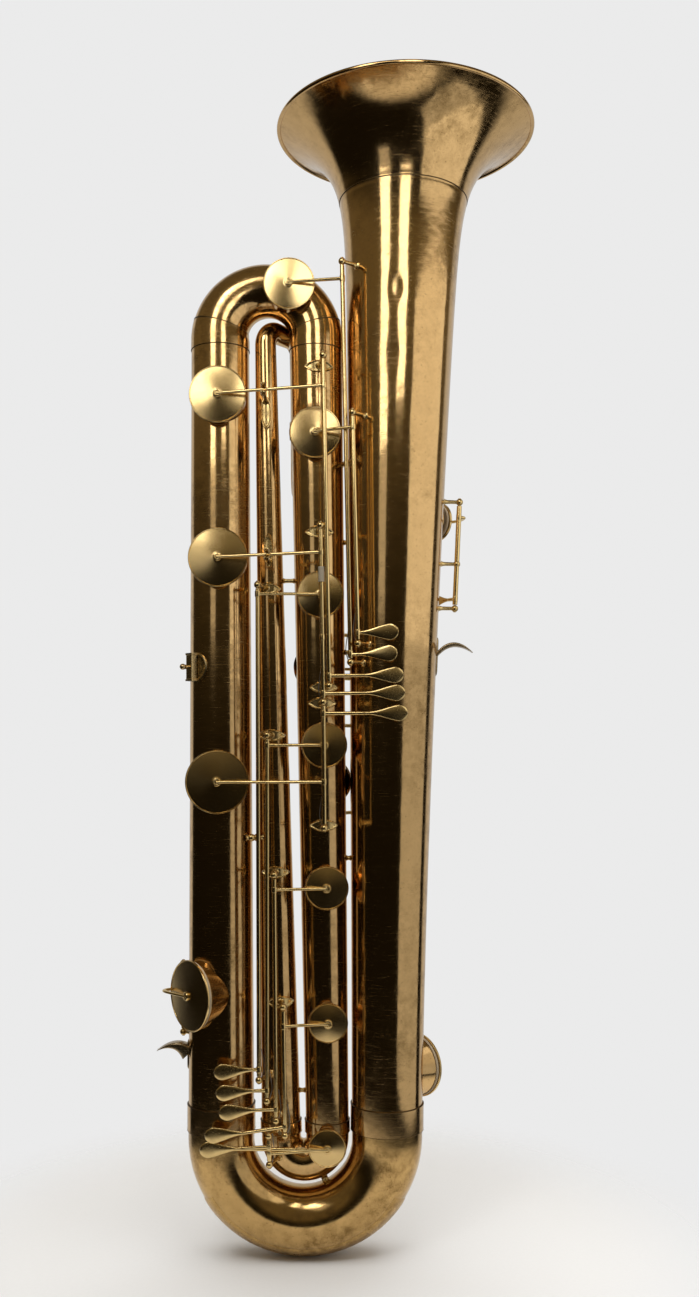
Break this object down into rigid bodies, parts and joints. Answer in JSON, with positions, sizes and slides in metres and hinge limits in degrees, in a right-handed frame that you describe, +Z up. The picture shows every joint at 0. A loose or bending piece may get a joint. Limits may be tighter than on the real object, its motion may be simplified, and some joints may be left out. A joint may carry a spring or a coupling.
{
  "type": "reed contrabass",
  "caption": "Upright brass reed contrabass: a folded conical tube with a flared bell, side-rod keys with spoon touches, thumb rests, lyre socket and crook receiver",
  "frame": {"origin": "the lowest point of the bottom bow guard, midway between the feet of the left tube and of the bell, in the plane of the main tubes", "axes": "+Z up along the body to the bell mouth, +X from the left tube to the bell, -Y towards the front keys"},
  "size_m": [0.4275, 0.2916, 1.275],
  "materials": {
    "tube_brass": "aged, unlacquered sheet, worn bright at the touched places",
    "fitting_brass": "aged sheet and castings, satin",
    "key_brass": "hand-polished satin",
    "pad_leather": "thin pale kid over felt"
  },
  "bodies": {
    "body": {"bell": "tube_brass", "bell_ferrule": "fitting_brass", "bottom_bow": "tube_brass", "left_ferrule": "fitting_brass", "bow_guard": "fitting_brass", "left_tube": "tube_brass", "top_bow": "tube_brass", "top_left_ferrule": "fitting_brass", "top_middle_ferrule": "fitting_brass", "middle_tube": "tube_brass", "small_bow": "tube_brass", "narrow_tube": "tube_brass", "top_bend": "tube_brass", "back_tube": "tube_brass", "receiver_bow": "tube_brass", "crook_receiver": "fitting_brass", "lyre_socket": "fitting_brass", "right_thumb_rest": "fitting_brass", "left_thumb_rest": "fitting_brass", "stay_narrow_middle_upper": "fitting_brass", "stay_narrow_middle_lower": "fitting_brass", "stay_middle_bell_upper": "fitting_brass", "stay_middle_bell_middle": "fitting_brass", "stay_middle_bell_lower": "fitting_brass", "stay_left_narrow": "fitting_brass", "stay_middle_bell_front": "fitting_brass", "stay_bows": "fitting_brass", "stay_back_middle": "fitting_brass"},
    "key_top_bow": {"key_top_bow": "key_brass", "pad_top_bow": "pad_leather"},
    "key_left_upper": {"key_left_upper": "key_brass", "pad_left_upper": "pad_leather"},
    "key_left_middle": {"key_left_middle": "key_brass", "pad_left_middle": "pad_leather"},
    "key_left_lower": {"key_left_lower": "key_brass", "pad_left_lower": "pad_leather"},
    "key_middle_1": {"key_middle_1": "key_brass", "pad_middle_1": "pad_leather"},
    "key_middle_2": {"key_middle_2": "key_brass", "pad_middle_2": "pad_leather"},
    "key_middle_3": {"key_middle_3": "key_brass", "pad_middle_3": "pad_leather"},
    "key_middle_4": {"key_middle_4": "key_brass", "pad_middle_4": "pad_leather"},
    "key_middle_5": {"key_middle_5": "key_brass", "pad_middle_5": "pad_leather"},
    "key_small_bow": {"key_small_bow": "key_brass", "pad_small_bow": "pad_leather"},
    "key_left_side": {"key_left_side": "key_brass", "pad_left_side": "pad_leather"},
    "key_bell_low": {"key_bell_low": "key_brass", "pad_bell_low": "pad_leather"},
    "key_back_lower": {"key_back_lower": "key_brass", "pad_back_lower": "pad_leather"},
    "key_back_upper": {"key_back_upper": "key_brass", "pad_back_upper": "pad_leather"},
    "key_bell_high": {"key_bell_high": "key_brass", "pad_bell_high": "pad_leather"},
    "lyre_screw": {"lyre_screw": "key_brass"},
    "crook_screw": {"crook_screw": "key_brass"}
  },
  "joints": [
    {"name": "key_top_bow_hinge", "type": "hinge", "parent": "body", "child": "key_top_bow", "pos_m": [0.0526, -0.05, 0.6683], "axis": [-0.0214, 0, 0.9998], "range_deg": [0, 6.7], "stiffness_Nm_per_rad": 0.4, "springref_deg": -14.32},
    {"name": "key_left_upper_hinge", "type": "hinge", "parent": "body", "child": "key_left_upper", "pos_m": [0.02956, -0.068, 0.64166], "axis": [-0.0188, 0, 0.9998], "range_deg": [0, 4], "stiffness_Nm_per_rad": 0.4, "springref_deg": -14.32},
    {"name": "key_left_middle_hinge", "type": "hinge", "parent": "body", "child": "key_left_middle", "pos_m": [0.02322, -0.068, 0.62406], "axis": [-0.0164, 0, 0.9999], "range_deg": [0, 4], "stiffness_Nm_per_rad": 0.4, "springref_deg": -14.32},
    {"name": "key_left_lower_hinge", "type": "hinge", "parent": "body", "child": "key_left_lower", "pos_m": [0.02424, -0.068, 0.48788], "axis": [-0.0075, 0, 1], "range_deg": [0, 4], "stiffness_Nm_per_rad": 0.4, "springref_deg": -14.32},
    {"name": "key_middle_1_hinge", "type": "hinge", "parent": "body", "child": "key_middle_1", "pos_m": [0.06057, -0.058, 0.68817], "axis": [-0.0233, 0, 0.9997], "range_deg": [0, 7], "stiffness_Nm_per_rad": 0.4, "springref_deg": -14.32},
    {"name": "key_middle_2_hinge", "type": "hinge", "parent": "body", "child": "key_middle_2", "pos_m": [-0.04796, -0.046, 0.20967], "axis": [-0.0028, 0, 1], "range_deg": [-5, 0], "stiffness_Nm_per_rad": 0.4, "springref_deg": 14.32},
    {"name": "key_middle_3_hinge", "type": "hinge", "parent": "body", "child": "key_middle_3", "pos_m": [-0.03918, -0.046, 0.18655], "axis": [0.0005, 0, 1], "range_deg": [-5, 0], "stiffness_Nm_per_rad": 0.4, "springref_deg": 14.32},
    {"name": "key_middle_4_hinge", "type": "hinge", "parent": "body", "child": "key_middle_4", "pos_m": [-0.02924, -0.046, 0.16497], "axis": [-0.0079, 0, 1], "range_deg": [-5, 0], "stiffness_Nm_per_rad": 0.4, "springref_deg": 14.32},
    {"name": "key_middle_5_hinge", "type": "hinge", "parent": "body", "child": "key_middle_5", "pos_m": [-0.0194, -0.046, 0.14872], "axis": [-0.0152, 0, 0.9999], "range_deg": [-5, 0], "stiffness_Nm_per_rad": 0.4, "springref_deg": 14.32},
    {"name": "key_small_bow_hinge", "type": "hinge", "parent": "body", "child": "key_small_bow", "pos_m": [-0.03644, -0.046, 0.11666], "axis": [-0.0272, 0, 0.9996], "range_deg": [-5, 0], "stiffness_Nm_per_rad": 0.4, "springref_deg": 14.32},
    {"name": "key_left_side_hinge", "type": "hinge", "parent": "body", "child": "key_left_side", "pos_m": [-0.13899, 0.01287, 0.24886], "axis": [0, 0, 1], "range_deg": [-6, 0], "stiffness_Nm_per_rad": 0.4, "springref_deg": 14.32},
    {"name": "key_bell_low_hinge", "type": "hinge", "parent": "body", "child": "key_bell_low", "pos_m": [0.10158, 0.07089, 0.19558], "axis": [0, 0, 1], "range_deg": [0, 7], "stiffness_Nm_per_rad": 0.4, "springref_deg": -14.32},
    {"name": "key_back_lower_hinge", "type": "hinge", "parent": "body", "child": "key_back_lower", "pos_m": [0.06193, 0.05514, 0.49854], "axis": [0, 0, 1], "range_deg": [-8, 0], "stiffness_Nm_per_rad": 0.4, "springref_deg": 14.32},
    {"name": "key_back_upper_hinge", "type": "hinge", "parent": "body", "child": "key_back_upper", "pos_m": [0.06048, 0.05597, 0.65521], "axis": [0, 0, 1], "range_deg": [-7, 0], "stiffness_Nm_per_rad": 0.4, "springref_deg": 14.32},
    {"name": "key_bell_high_hinge", "type": "hinge", "parent": "body", "child": "key_bell_high", "pos_m": [0.17186, 0.01038, 0.73377], "axis": [0.0451, 0, 0.999], "range_deg": [0, 8], "stiffness_Nm_per_rad": 0.4, "springref_deg": -14.32},
    {"name": "lyre_screw_turn", "type": "hinge", "parent": "body", "child": "lyre_screw", "pos_m": [-0.12801, -0.03106, 0.66424], "axis": [-0.7314, -0.682, 0], "continuous": true},
    {"name": "crook_screw_turn", "type": "hinge", "parent": "body", "child": "crook_screw", "pos_m": [-0.00687, 0.10285, 0.95576], "axis": [0, 1, 0], "continuous": true}
  ]
}
